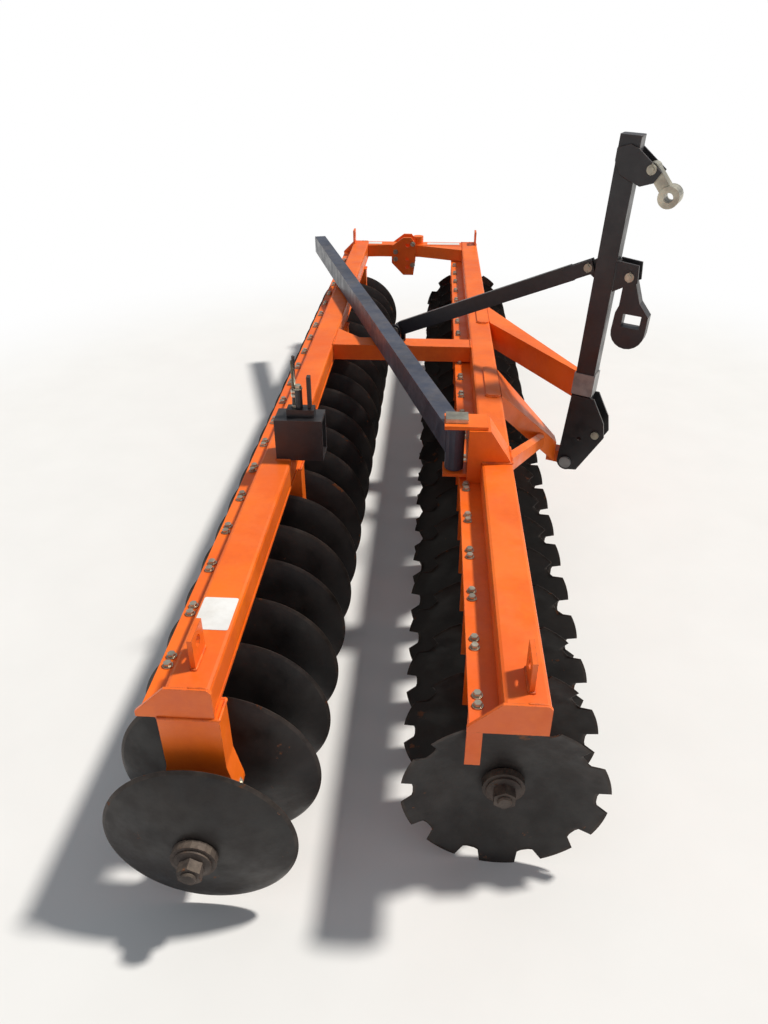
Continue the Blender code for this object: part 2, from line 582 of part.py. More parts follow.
# Swing bar, its bracket and pin on the front beam
beam_back = beam_sides("front")[0] - GAP
swing_top = SWING_Z0 + SWING_H
pin_x, pin_y = SWING_PIN
BRACKET_Y = (1.035, 1.165)
TOP_Z = swing_top + 0.010
wedge = [(pin_x + 0.045, TOP_Z), (-0.020, TOP_Z), (0.060, BEAM_TOP + GAP), (beam_back, BEAM_TOP + GAP),
         (beam_back, RAIL_TOP + GAP), (pin_x + 0.045, RAIL_TOP + GAP)]
lower_z = (RAIL_TOP + 0.014, RAIL_TOP + 0.026)
top_plate = block((pin_x - 0.040, -0.030), (pin_y - 0.055, pin_y + 0.055), (TOP_Z - 0.001, TOP_Z + 0.012))
lower_lug = block((pin_x - 0.040, pin_x + 0.050), (pin_y - 0.045, pin_y + 0.045), lower_z)
make_part("swing_bracket", slab(wedge, BRACKET_Y), "orange", root, add=[top_plate, lower_lug],
          cut=[rod((pin_x, pin_y, 0.5), (pin_x, pin_y, 1.0), SWING_PIN_R + GAP)])
head_z = TOP_Z + 0.012 + GAP
make_part("swing_pin", rod((pin_x, pin_y, lower_z[0]), (pin_x, pin_y, head_z + 0.001), SWING_PIN_R), "zinc",
          root, add=[block((pin_x - 0.036, pin_x + 0.042), (pin_y - 0.030, pin_y + 0.034),
                           (head_z, head_z + 0.016))])
barrel = rod((0, 0, lower_z[1] + 0.005), (0, 0, swing_top + 0.002), BARREL_R, 20)
make_part("swing_bar", block((-SWING_W / 2, SWING_W / 2), (0, SWING_L), (SWING_Z0, swing_top)),
          "blue_black", swing_axis, add=[barrel],
          cut=[rod((0, 0, 0.5), (0, 0, 1.0), SWING_PIN_R + PIN_PLAY)])

# Clamp sleeve on the rear beam, open along X for the swing bar, with its locking screw
sleeve_z = (BEAM_TOP + GAP, BEAM_TOP + SLEEVE_H)
hollow = [(low + SLEEVE_WALL, high - SLEEVE_WALL) for low, high in (SLEEVE_Y, sleeve_z)]
make_part("clamp_sleeve", block(SLEEVE_X, SLEEVE_Y, sleeve_z), "black", root,
          cut=[block((SLEEVE_X[0] - 0.1, SLEEVE_X[1] + 0.1), *hollow)])
screw_z = sleeve_z[1] + GAP
mid_y = sum(SLEEVE_Y) / 2
make_part("clamp_screw", block((-0.725, -0.630), (mid_y - 0.024, mid_y + 0.024), (screw_z, screw_z + 0.028)),
          "black", root,
          add=[rod((-0.702, mid_y, screw_z + 0.010), (-0.694, mid_y, 1.100), 0.0060, 8),
               rod((-0.684, mid_y, screw_z + 0.010), (-0.684, mid_y, 0.985), 0.0140, 12),
               block((-0.652, -0.640), (mid_y - 0.012, mid_y + 0.012), (screw_z + 0.010, 1.030))])

# Origin: the middle of the footprint, on the floor
bpy.context.view_layer.update()
depsgraph = bpy.context.evaluated_depsgraph_get()
corners = [item.matrix_world @ Vector(corner) for item in PARTS.objects if item.type == "MESH"
           for corner in item.evaluated_get(depsgraph).bound_box]
lows = [min(point[axis] for point in corners) for axis in range(3)]
highs = [max(point[axis] for point in corners) for axis in range(3)]
root.location = (-(lows[0] + highs[0]) / 2, -(lows[1] + highs[1]) / 2, -lows[2])
bpy.context.view_layer.update()
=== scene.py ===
# %% [markdown]
# # Disc harrow, dressed for the camera
# A disc harrow cuts and turns soil with two rows of dished steel discs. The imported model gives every
# solid its place and says what moves. This notebook loads it as a fixed frame, gives each solid a real
# finish, and adds what a plain solid lacks: thin dished discs, bolts, welds, plates and washers.

# %% The frame
import json
from math import cos, pi, radians, sin, sqrt
import random

import bmesh
import bpy
from mathutils import Matrix, Vector


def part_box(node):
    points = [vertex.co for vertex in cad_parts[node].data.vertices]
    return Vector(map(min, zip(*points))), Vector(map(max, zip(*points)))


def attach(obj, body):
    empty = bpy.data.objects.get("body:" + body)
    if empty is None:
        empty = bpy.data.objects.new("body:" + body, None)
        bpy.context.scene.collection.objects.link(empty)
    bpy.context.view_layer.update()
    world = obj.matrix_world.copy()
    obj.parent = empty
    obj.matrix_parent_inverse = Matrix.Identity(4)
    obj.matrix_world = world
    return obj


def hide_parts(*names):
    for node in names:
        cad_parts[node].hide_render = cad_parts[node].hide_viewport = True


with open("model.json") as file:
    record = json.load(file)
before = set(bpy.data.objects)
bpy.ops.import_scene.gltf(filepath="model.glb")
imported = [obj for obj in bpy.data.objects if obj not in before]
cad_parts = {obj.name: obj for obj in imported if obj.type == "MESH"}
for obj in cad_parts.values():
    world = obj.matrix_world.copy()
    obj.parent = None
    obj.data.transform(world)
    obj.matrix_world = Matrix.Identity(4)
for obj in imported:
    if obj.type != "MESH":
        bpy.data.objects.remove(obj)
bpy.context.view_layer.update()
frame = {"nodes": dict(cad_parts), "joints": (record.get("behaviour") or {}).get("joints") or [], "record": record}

nodes, joints = frame["nodes"], {joint["name"]: joint for joint in frame["joints"]}

# %% [markdown]
# ## One working frame
# Measurements on a machine start at a place a hand can touch. Here it is the front gang's near disc: x is
# counted forward from its axle, y along the gang from its rim, z up from the floor. A short function turns
# such a place into the frame's own coordinates, so that no number below has to know where the origin is.

# %% Places
DISC_T = 0.006
axle_low, axle_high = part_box("front_axle")
SHOP = Vector(((axle_low.x + axle_high.x) / 2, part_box("front_discs")[0].y + DISC_T / 2, 0))


def at(x, y, z):
    return SHOP + Vector((x, y, z))


fold = joints["drawbar_fold"]
ALONG_PIN = Vector(fold["axis"]).normalized()
AHEAD = Vector((ALONG_PIN.y, -ALONG_PIN.x, 0))
LEAN = radians(2.5)
upright = Matrix((AHEAD, ALONG_PIN, Vector((0, 0, 1)))).transposed().to_4x4()
DRAWBAR = Matrix.Translation(Vector(fold["pos_m"])) @ upright @ Matrix.Rotation(LEAN, 4, "Y")
POST = Matrix.Translation(Vector(joints["brace_lift"]["pos_m"])) @ upright
print("working origin", [round(v, 3) for v in SHOP])

# %% [markdown]
# ## Camera, floor and light
# The machine is seen from above its near end, looking along the gangs, so the camera stands a little over
# head height. A plain floor takes the shadow, and its colour runs out into white with distance, which does
# the work of a studio's curved backdrop. One broad lamp stands in for a high sun on the drawbar's side.

# %% Camera
camera = bpy.data.objects.new("camera", bpy.data.cameras.new("camera"))
bpy.context.scene.collection.objects.link(camera)
camera.location = at(-0.234, -1.358, 2.006)
camera.rotation_euler = (pi / 2 - 0.5544, 0, 0.0642)
camera.data.sensor_width = 36
camera.data.lens = 27.04
bpy.context.scene.camera = camera
bpy.context.scene.view_settings.view_transform = "Standard"

# %% Lamp and sky
lamp = bpy.data.objects.new("high_lamp", bpy.data.lights.new("high_lamp", "SUN"))
bpy.context.scene.collection.objects.link(lamp)
lamp.data.energy = 3.4
lamp.data.angle = radians(5)
lamp.data.color = (1.0, 0.97, 0.92)
lamp.rotation_euler = Vector((0.58, 0.22, 1.0)).to_track_quat("Z", "Y").to_euler()

sky = bpy.data.worlds.new("sky")
bpy.context.scene.world = sky
sky.use_nodes = True
tree = sky.node_tree
tree.nodes.clear()
rays = tree.nodes.new("ShaderNodeLightPath")
soft = tree.nodes.new("ShaderNodeBackground")
soft.inputs["Color"].default_value = (0.86, 0.92, 1.0, 1)
soft.inputs["Strength"].default_value = 0.36
white = tree.nodes.new("ShaderNodeBackground")
white.inputs["Color"].default_value = (1, 1, 1, 1)
choose = tree.nodes.new("ShaderNodeMixShader")
out = tree.nodes.new("ShaderNodeOutputWorld")
tree.links.new(rays.outputs["Is Camera Ray"], choose.inputs["Fac"])
tree.links.new(soft.outputs[0], choose.inputs[1])
tree.links.new(white.outputs[0], choose.inputs[2])
tree.links.new(choose.outputs[0], out.inputs["Surface"])

# %% [markdown]
# ## Shader groups that several finishes share
# Paint, cast iron and bare steel on a machine that works in soil all show the same three things: uneven
# colour, dust on what faces up, and bare or rusty spots where edges get knocked. Each is one node group
# with named sockets, made once and given its own values in every material.


# %% Group helpers
def new_group(name, inputs, outputs):
    group = bpy.data.node_groups.new(name, "ShaderNodeTree")
    for socket, kind, value in inputs:
        made = group.interface.new_socket(socket, in_out="INPUT", socket_type=kind)
        made.default_value = value
    for socket, kind in outputs:
        group.interface.new_socket(socket, in_out="OUTPUT", socket_type=kind)
    return group, group.nodes.new("NodeGroupInput"), group.nodes.new("NodeGroupOutput")


def math_node(tree, operation, first, second=None, clamp=False):
    node = tree.nodes.new("ShaderNodeMath")
    node.operation = operation
    node.use_clamp = clamp
    for socket, value in zip(node.inputs, (first, second)):
        if isinstance(value, (int, float)):
            socket.default_value = value
        elif value is not None:
            tree.links.new(value, socket)
    return node.outputs[0]


def noise(tree, scale, detail=4.0, roughness=0.55):
    where = tree.nodes.new("ShaderNodeTexCoord").outputs["Object"]
    node = tree.nodes.new("ShaderNodeTexNoise")
    tree.links.new(where, node.inputs["Vector"])
    if isinstance(scale, (int, float)):
        node.inputs["Scale"].default_value = scale
    else:
        tree.links.new(scale, node.inputs["Scale"])
    node.inputs["Detail"].default_value = detail
    node.inputs["Roughness"].default_value = roughness
    return node.outputs["Fac"]


def band(tree, value, low, high):
    """0 below low, 1 above high, smooth between."""
    node = tree.nodes.new("ShaderNodeMapRange")
    node.interpolation_type = "SMOOTHSTEP"
    tree.links.new(value, node.inputs["Value"])
    for socket, limit in (("From Min", low), ("From Max", high)):
        if isinstance(limit, (int, float)):
            node.inputs[socket].default_value = limit
        else:
            tree.links.new(limit, node.inputs[socket])
    return node.outputs["Result"]


def mix_colour(tree, factor, first, second):
    node = tree.nodes.new("ShaderNodeMix")
    node.data_type = "RGBA"
    for socket, value in ((node.inputs[0], factor), (node.inputs[6], first), (node.inputs[7], second)):
        if isinstance(value, (int, float, tuple)):
            socket.default_value = value
        else:
            tree.links.new(value, socket)
    return node.outputs[2]


# %% Uneven colour
mottle, way_in, way_out = new_group(
    "mottle", [("Light", "NodeSocketColor", (1, 1, 1, 1)), ("Dark", "NodeSocketColor", (0, 0, 0, 1)),
               ("Scale", "NodeSocketFloat", 5.0)], [("Color", "NodeSocketColor")])
broad = noise(mottle, way_in.outputs["Scale"], 6)
fine = noise(mottle, 60, 3)
spread = band(mottle, math_node(mottle, "ADD", math_node(mottle, "MULTIPLY", broad, 0.8),
                                math_node(mottle, "MULTIPLY", fine, 0.2)), 0.36, 0.64)
mottle.links.new(mix_colour(mottle, spread, way_in.outputs["Dark"], way_in.outputs["Light"]),
                 way_out.inputs["Color"])

# %% Knocked edges
edges, way_in, way_out = new_group(
    "knocked_edges", [("Reach", "NodeSocketFloat", 0.003), ("Amount", "NodeSocketFloat", 0.5)],
    [("Mask", "NodeSocketFloat")])
rounded = edges.nodes.new("ShaderNodeBevel")
rounded.samples = 4
edges.links.new(way_in.outputs["Reach"], rounded.inputs["Radius"])
surface = edges.nodes.new("ShaderNodeNewGeometry")
facing = edges.nodes.new("ShaderNodeVectorMath")
facing.operation = "DOT_PRODUCT"
edges.links.new(rounded.outputs[0], facing.inputs[0])
edges.links.new(surface.outputs["Normal"], facing.inputs[1])
turned = math_node(edges, "SUBTRACT", 1.0, facing.outputs["Value"])
edge = band(edges, turned, 0.01, 0.10)
broken = band(edges, noise(edges, 45, 5, 0.65), 0.42, 0.60)
edges.links.new(math_node(edges, "MULTIPLY", math_node(edges, "MULTIPLY", edge, broken),
                          way_in.outputs["Amount"], clamp=True), way_out.inputs["Mask"])

# %% Dust that settles on what faces up
dust, way_in, way_out = new_group("dust", [("Amount", "NodeSocketFloat", 0.3)], [("Mask", "NodeSocketFloat")])
surface = dust.nodes.new("ShaderNodeNewGeometry")
parts = dust.nodes.new("ShaderNodeSeparateXYZ")
dust.links.new(surface.outputs["Normal"], parts.inputs[0])
upward = band(dust, parts.outputs["Z"], 0.1, 0.9)
patch = band(dust, noise(dust, 9, 7, 0.7), 0.38, 0.72)
dust.links.new(math_node(dust, "MULTIPLY", math_node(dust, "MULTIPLY", math_node(dust, "ADD", upward, 0.25),
                                                     patch), way_in.outputs["Amount"], clamp=True),
               way_out.inputs["Mask"])

# %% Scattered chips and rust spots
spots, way_in, way_out = new_group(
    "spots", [("Scale", "NodeSocketFloat", 20.0), ("Start", "NodeSocketFloat", 0.68)],
    [("Mask", "NodeSocketFloat")])
chip_noise = noise(spots, way_in.outputs["Scale"], 8, 0.68)
stop = math_node(spots, "ADD", way_in.outputs["Start"], 0.03)
spots.links.new(band(spots, chip_noise, way_in.outputs["Start"], stop), way_out.inputs["Mask"])

# %% [markdown]
# ## Finishes
# Each finish is one Principled shader. The groups above feed its colour, roughness and bump. Sprayed enamel
# keeps a thin gloss; the discs wear a thin dip paint that soil soon takes off; castings are left rough.

DUST_COLOUR = (0.42, 0.33, 0.24, 1)
RUST_DARK, RUST_LIGHT = (0.060, 0.022, 0.010, 1), (0.23, 0.075, 0.022, 1)


# %% A worn finish
def use(tree, group, **values):
    node = tree.nodes.new("ShaderNodeGroup")
    node.node_tree = group
    for socket, value in values.items():
        node.inputs[socket].default_value = value
    return node.outputs[0]


def worn_finish(name, light, dark, scale=4.0, rough=(0.35, 0.6), metallic=0.0, coat=0.0, edge=0.5, reach=0.003,
                under=RUST_DARK, dusty=0.35, chips=0.70, chip_scale=22.0, bump=0.15, bump_scale=90.0):
    material = bpy.data.materials.new(name)
    material.use_nodes = True
    tree = material.node_tree
    shader = tree.nodes["Principled BSDF"]
    colour = use(tree, mottle, Light=(*light, 1), Dark=(*dark, 1), Scale=scale)
    spot = use(tree, spots, Scale=chip_scale, Start=chips)
    knock = use(tree, edges, Reach=reach, Amount=edge)
    bare = math_node(tree, "MAXIMUM", spot, knock)
    below = mix_colour(tree, noise(tree, 35, 5), under, RUST_LIGHT)
    film = use(tree, dust, Amount=dusty)
    colour = mix_colour(tree, bare, colour, below)
    colour = mix_colour(tree, film, colour, DUST_COLOUR)
    tree.links.new(colour, shader.inputs["Base Color"])
    sheen = band(tree, noise(tree, 14, 5), 0.3, 0.7)
    low, high = rough
    roughness = math_node(tree, "ADD", math_node(tree, "MULTIPLY", sheen, high - low), low)
    roughness = math_node(tree, "ADD", roughness, math_node(tree, "MULTIPLY", math_node(
        tree, "MAXIMUM", bare, film), 0.35), clamp=True)
    tree.links.new(roughness, shader.inputs["Roughness"])
    shader.inputs["Metallic"].default_value = metallic
    shader.inputs["Coat Weight"].default_value = coat
    shader.inputs["Coat Roughness"].default_value = 0.22
    lumps = tree.nodes.new("ShaderNodeBump")
    lumps.inputs["Strength"].default_value = bump
    lumps.inputs["Distance"].default_value = 0.002
    height = math_node(tree, "SUBTRACT", noise(tree, bump_scale, 3), math_node(tree, "MULTIPLY", bare, 0.6))
    tree.links.new(height, lumps.inputs["Height"])
    tree.links.new(lumps.outputs[0], shader.inputs["Normal"])
    return material


FINISH = {
    "orange": worn_finish("orange_enamel", (0.94, 0.165, 0.004), (0.82, 0.120, 0.003), coat=0.15, dusty=0.04,
                          edge=0.75, chips=0.715),
    "black": worn_finish("black_enamel", (0.020, 0.017, 0.020), (0.010, 0.009, 0.011), coat=0.3, dusty=0.07,
                         edge=0.5, chips=0.72),
    "blue_black": worn_finish("blue_grey_enamel", (0.050, 0.060, 0.092), (0.030, 0.036, 0.058), coat=0.2,
                              dusty=0.12, edge=0.7, chips=0.70),
    "disc": worn_finish("dip_painted_disc", (0.018, 0.013, 0.012), (0.009, 0.007, 0.007), scale=7,
                        rough=(0.38, 0.62), metallic=0.15, edge=0.35, under=(0.10, 0.055, 0.035, 1), dusty=0.07,
                        chips=0.66, chip_scale=12, bump=0.22, bump_scale=60),
    "ground_edge": worn_finish("ground_edge", (0.050, 0.040, 0.036), (0.024, 0.018, 0.016), scale=16,
                               rough=(0.30, 0.5), metallic=0.6, edge=0.2, dusty=0.12, chips=0.62),
    "cast": worn_finish("cast_iron", (0.090, 0.066, 0.055), (0.040, 0.030, 0.027), scale=12, rough=(0.5, 0.75),
                        metallic=0.35, edge=0.3, dusty=0.3, chips=0.60, bump=0.5, bump_scale=160),
    "bare_steel": worn_finish("bare_steel", (0.36, 0.355, 0.35), (0.25, 0.245, 0.24), scale=18,
                              rough=(0.35, 0.55), metallic=0.5, edge=0.2, dusty=0.08, chips=0.72),
    "zinc": worn_finish("yellow_zinc", (0.62, 0.58, 0.46), (0.40, 0.37, 0.30), scale=22, rough=(0.28, 0.46),
                        metallic=0.85, edge=0.3, dusty=0.15, chips=0.70),
    "weld": worn_finish("painted_weld", (0.88, 0.150, 0.004), (0.62, 0.085, 0.003), scale=30, edge=0.3,
                        dusty=0.06, chips=0.72, bump=0.6, bump_scale=240),
    "label": worn_finish("blank_label", (0.86, 0.85, 0.82), (0.76, 0.75, 0.72), scale=8, rough=(0.35, 0.5),
                         edge=0.0, dusty=0.18, chips=0.76),
}
print(len(FINISH), "finishes")

# %% Floor
bpy.ops.mesh.primitive_plane_add(size=90, location=(0, 0, 0))
floor = bpy.context.object
floor.name = "floor"
paving = bpy.data.materials.new("pale_floor")
paving.use_nodes = True
tree = paving.node_tree
shader = tree.nodes["Principled BSDF"]
shader.inputs["Roughness"].default_value = 0.9
tree.links.new(mix_colour(tree, noise(tree, 3, 6), (0.74, 0.73, 0.71, 1), (0.80, 0.79, 0.77, 1)),
               shader.inputs["Base Color"])
glow = tree.nodes.new("ShaderNodeEmission")
glow.inputs["Color"].default_value = (1, 1, 1, 1)
place = tree.nodes.new("ShaderNodeNewGeometry").outputs["Position"]
length = tree.nodes.new("ShaderNodeVectorMath")
length.operation = "LENGTH"
tree.links.new(place, length.inputs[0])
far = band(tree, length.outputs["Value"], 2.6, 4.6)
seen = tree.nodes.new("ShaderNodeLightPath")
blend = tree.nodes.new("ShaderNodeMixShader")
tree.links.new(math_node(tree, "MULTIPLY", far, seen.outputs["Is Camera Ray"]), blend.inputs["Fac"])
tree.links.new(shader.outputs[0], blend.inputs[1])
tree.links.new(glow.outputs[0], blend.inputs[2])
tree.links.new(blend.outputs[0], tree.nodes["Material Output"].inputs["Surface"])
floor.data.materials.append(paving)

# %% [markdown]
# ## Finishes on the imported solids
# Most solids are the right shape already: plate, tube and bar. Each gets its finish, and a small bevel as a
# modifier, since rolled and welded steel never has a knife edge and a rounded edge is what catches light.

# %% Solids
EDGE = {"front_beam": 0.004, "rear_beam": 0.004, "swing_bar": 0.006, "drawbar_tube": 0.006, "near_arm": 0.003,
        "far_arm": 0.003, "stand_foot": 0.004, "clamp_sleeve": 0.003, "middle_crossbar": 0.004}
slots = {entry["node"]: entry["material_slot"] for entry in frame["record"]["subparts"]}
for name, solid in nodes.items():
    solid.data.materials.clear()
    solid.data.materials.append(FINISH[slots[name]])
    if name in ("front_discs", "rear_discs"):
        continue
    bevel = solid.modifiers.new("rounded_edges", "BEVEL")
    bevel.width = EDGE.get(name, 0.0016)
    bevel.segments = 2
    bevel.limit_method = "ANGLE"
    bevel.angle_limit = radians(32)
    bevel.use_clamp_overlap = True

# %% [markdown]
# ## Mesh helpers
# Bolts, discs, spools and pins are turned or forged, so most shapes here start as a profile spun round an
# axis. Everything small of one kind on one body is gathered into one mesh, as a parts list would group it.


# %% Spun profiles, hexagons and pieces
def frame_at(point, direction):
    """Matrix whose z axis points along direction, from a point."""
    turn = Vector((0, 0, 1)).rotation_difference(Vector(direction)).to_matrix().to_4x4()
    return Matrix.Translation(point) @ turn


def spin(bm, profile, matrix, steps=32, slot=0):
    """Closed solid from (radius, height) points; the ends run to the axis."""
    rings = []
    for radius, height in profile:
        rings.append([bm.verts.new(matrix @ Vector((radius * cos(2 * pi * i / steps),
                                                    radius * sin(2 * pi * i / steps), height)))
                      for i in range(steps)])
    for low, high in zip(rings, rings[1:]):
        for i in range(steps):
            bm.faces.new((low[i - 1], low[i], high[i], high[i - 1])).material_index = slot
    bm.faces.new(list(reversed(rings[0]))).material_index = slot
    bm.faces.new(rings[-1]).material_index = slot


def hex_bolt(bm, point, direction, across=0.024, head=0.012, washer=True, stud=0.0):
    """Hexagon head with a chamfered crown, on a washer; a nut shows the end of its stud as well."""
    matrix = frame_at(point, direction)
    radius = across / 2 / cos(pi / 6)
    base = 0.0
    if washer:
        spin(bm, [(radius * 1.25, 0.0002), (radius * 1.28, 0.0008), (radius * 1.25, 0.003)], matrix, 20)
        base = 0.003
    spin(bm, [(radius * 0.97, base), (radius, base + 0.001), (radius, base + head * 0.82),
              (radius * 0.86, base + head)], matrix, 6)
    if stud:
        spin(bm, [(across * 0.30, base + head - 0.001), (across * 0.30, base + head + stud * 0.8),
                  (across * 0.25, base + head + stud)], matrix, 12)


def finish_piece(name, bm, materials, body, sharp=35):
    """Turn a bmesh into a named object that rides on a body; edges sharper than `sharp` degrees stay crisp."""
    bmesh.ops.recalc_face_normals(bm, faces=bm.faces)
    mesh = bpy.data.meshes.new(name)
    bm.to_mesh(mesh)
    bm.free()
    mesh.shade_smooth()
    mesh.set_sharp_from_angle(angle=radians(sharp))
    piece = bpy.data.objects.new(name, mesh)
    bpy.context.scene.collection.objects.link(piece)
    for material in materials:
        mesh.materials.append(FINISH[material])
    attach(piece, body)
    return piece


# %% [markdown]
# ## Discs and spools
# A disc is pressed from thin spring steel into part of a sphere, then its rim is ground to a bevel. The
# front ones have notches that bite into stubble. One function makes both, from rings of points: each
# point's radius says how deep it lies, and a notched rim only moves the outer rings inward.

# %% Disc sizes
DISCS, PITCH = 22, 0.205
DISC_R, END_DISC_R, HUB_R, DISH = 0.279, 0.250, 0.062, 0.056
NOTCHES, NOTCH_DEPTH, NOTCH_HALF = 10, 0.034, 0.21
BAND = 0.009            # ground bevel round the rim
AXLE_Z = 0.28
STEPS = NOTCHES * 14
gangs = {"front": {"x": 0.0, "y": 0.0, "side": 1}, "rear": {"x": -0.776, "y": -0.155, "side": -1}}


def rim_radius(angle, radius, notched):
    """Outer radius in a direction. A notch is a scoop; its half width is a share of a notch's step."""
    if not notched:
        return radius
    share = (angle * NOTCHES / (2 * pi)) % 1.0
    off = min(share, 1 - share)
    if off > NOTCH_HALF:
        return radius
    return radius - NOTCH_DEPTH * (1 - (off / NOTCH_HALF) ** 4) ** 0.5


def dish_at(radius):
    """How far the dish lies behind the rim's plane at a radius."""
    return DISH * (DISC_R ** 2 - radius ** 2) / (DISC_R ** 2 - HUB_R ** 2)


def add_disc(bm, x, y, side, radius, notched):
    """A disc whose rim stands at y and whose hub lies DISH towards side."""
    body_rings = [0.030, HUB_R, 0.085, 0.115, 0.145, 0.175, 0.205, 0.228]
    skins = []
    for skin in (-1, 1):
        rings = []
        for step in range(len(body_rings) + 3):
            ring = []
            for i in range(STEPS):
                angle = 2 * pi * i / STEPS
                outer = rim_radius(angle, radius, notched)
                if step < len(body_rings):
                    r, thick = min(body_rings[step], outer - BAND - 0.002 * (len(body_rings) - step)), 1.0
                elif step == len(body_rings):
                    r, thick = outer - BAND, 1.0
                elif step == len(body_rings) + 1:
                    r, thick = outer - 0.0015, 0.30
                else:
                    r, thick = outer, 0.16
                lift = DISH if r <= HUB_R else dish_at(r)
                ring.append(bm.verts.new(SHOP + Vector((
                    x + r * cos(angle), y + side * lift + skin * thick * DISC_T / 2,
                    AXLE_Z + r * sin(angle)))))
            rings.append(ring)
        skins.append(rings)
    for rings in skins:
        for number, (inner, outer) in enumerate(zip(rings, rings[1:])):
            for i in range(STEPS):
                face = bm.faces.new((inner[i - 1], inner[i], outer[i], outer[i - 1]))
                face.material_index = 1 if number >= len(rings) - 3 else 0
    for edge in (0, -1):
        for i in range(STEPS):
            bm.faces.new((skins[0][edge][i - 1], skins[0][edge][i], skins[1][edge][i],
                          skins[1][edge][i - 1])).material_index = 1 if edge else 0


# %% Build both gangs
SPOOL_R, FLANGE_R = 0.0452, 0.066
for gang, facts in gangs.items():
    discs, spools = bmesh.new(), bmesh.new()
    for i in range(DISCS):
        rim = facts["y"] + i * PITCH
        radius = END_DISC_R if gang == "rear" and i == 0 else DISC_R
        add_disc(discs, facts["x"], rim, facts["side"], radius, gang == "front")
        if i < DISCS - 1:
            start = rim + facts["side"] * DISH + DISC_T / 2
            long = PITCH - DISC_T
            spin(spools, [(0.028, 0.0001), (FLANGE_R, 0.0001), (FLANGE_R, 0.006), (0.050, 0.013),
                          (SPOOL_R, 0.024), (SPOOL_R, long - 0.024), (0.050, long - 0.013),
                          (FLANGE_R, long - 0.006), (FLANGE_R, long - 0.0001), (0.028, long - 0.0001)],
                 frame_at(at(facts["x"], start, AXLE_Z), (0, 1, 0)), 28)
    set_of_discs = finish_piece(f"{gang}_disc_set", discs, ["disc", "ground_edge"], f"{gang}_gang")
    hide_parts(f"{gang}_discs")
    finish_piece(f"{gang}_spools", spools, ["cast"], f"{gang}_gang")
print(2 * DISCS, "discs of", STEPS, "steps")

# %% Hub washers, nuts and the bar's end
for gang, facts in gangs.items():
    low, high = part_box(f"{gang}_axle")
    hub = bmesh.new()
    for y, way in ((low.y, -1), (high.y, 1)):
        centre = Vector((SHOP.x + facts["x"], y, AXLE_Z))
        spin(hub, [(0.020, -0.006), (0.020, 0.004), (0.017, 0.008)], frame_at(centre, (0, way, 0)), 24)
        spin(hub, [(0.043, -0.042), (0.047, -0.040), (0.047, -0.034), (0.036, -0.030)],
             frame_at(centre, (0, way, 0)), 36)
    finish_piece(f"{gang}_hub_fittings", hub, ["cast"], f"{gang}_gang")

# %% [markdown]
# ## Bolts
# Each scraper is held by two bolts through the rail, one pair for every disc, and each bearing hangs on four
# more. They are small, but their even rhythm along the rails is what makes the machine look like one.

# %% Rail bolts
RAIL_TOP = 0.653
BEAM_TOP = 0.735
RAIL_T = 0.0085
RAIL_Y = (-0.09, 4.40)              # a blade past either end has no bolts
BOLT_LINE, BOLT_APART = -0.096, 0.034
BLADE_OFF = 0.019                   # blade, from its disc's rim
for gang, facts in gangs.items():
    bolts = bmesh.new()
    for i in range(DISCS):
        blade = facts["y"] + i * PITCH - facts["side"] * BLADE_OFF
        if blade < RAIL_Y[0] or blade > RAIL_Y[1]:
            continue
        for dy in (BOLT_APART / 2, -BOLT_APART / 2):
            x, y = facts["x"] + BOLT_LINE, blade + dy
            hex_bolt(bolts, at(x, y, RAIL_TOP - 0.0002), (0, 0, 1), 0.019, 0.010)
            hex_bolt(bolts, at(x, y, RAIL_TOP - RAIL_T), (0, 0, -1), 0.019, 0.010, stud=0.008)
    finish_piece(f"{gang}_rail_bolts", bolts, ["zinc"], "frame")

# %% Hanger bolts and grease nipples
for gang, facts in gangs.items():
    bolts, nipples = bmesh.new(), bmesh.new()
    for number in (1, 2, 3, 4):
        low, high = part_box(f"{gang}_hanger_{number}")
        middle = (low + high) / 2
        shoe = low.y + 0.060 if facts["side"] < 0 else high.y - 0.060
        for side in (-1, 1):
            for dy in (-0.020, 0.020):
                y = middle.y + dy
                hex_bolt(bolts, Vector((middle.x + side * 0.0840, shoe + dy, 0.356)), (0, 0, -1),
                         0.019, 0.011, stud=0.010)
                hex_bolt(bolts, Vector((middle.x + side * 0.0850, y, 0.3855)), (side * 0.18, 0, 1),
                         0.019, 0.010)
        spin(nipples, [(0.0045, -0.002), (0.0045, 0.006), (0.0028, 0.008), (0.0040, 0.012), (0.0020, 0.015)],
             frame_at(Vector((middle.x + 0.078, shoe, 0.29)), (1, 0, 0)), 14)
    finish_piece(f"{gang}_hanger_bolts", bolts, ["zinc"], "frame")
    finish_piece(f"{gang}_grease_nipples", nipples, ["bare_steel"], "frame")

# %% [markdown]
# ## Welds
# A weld bead is a row of overlapping ripples laid along a joint. A tube whose radius rises and falls along
# its path gives that, with a little unevenness from a fixed random seed so that no two beads look copied.


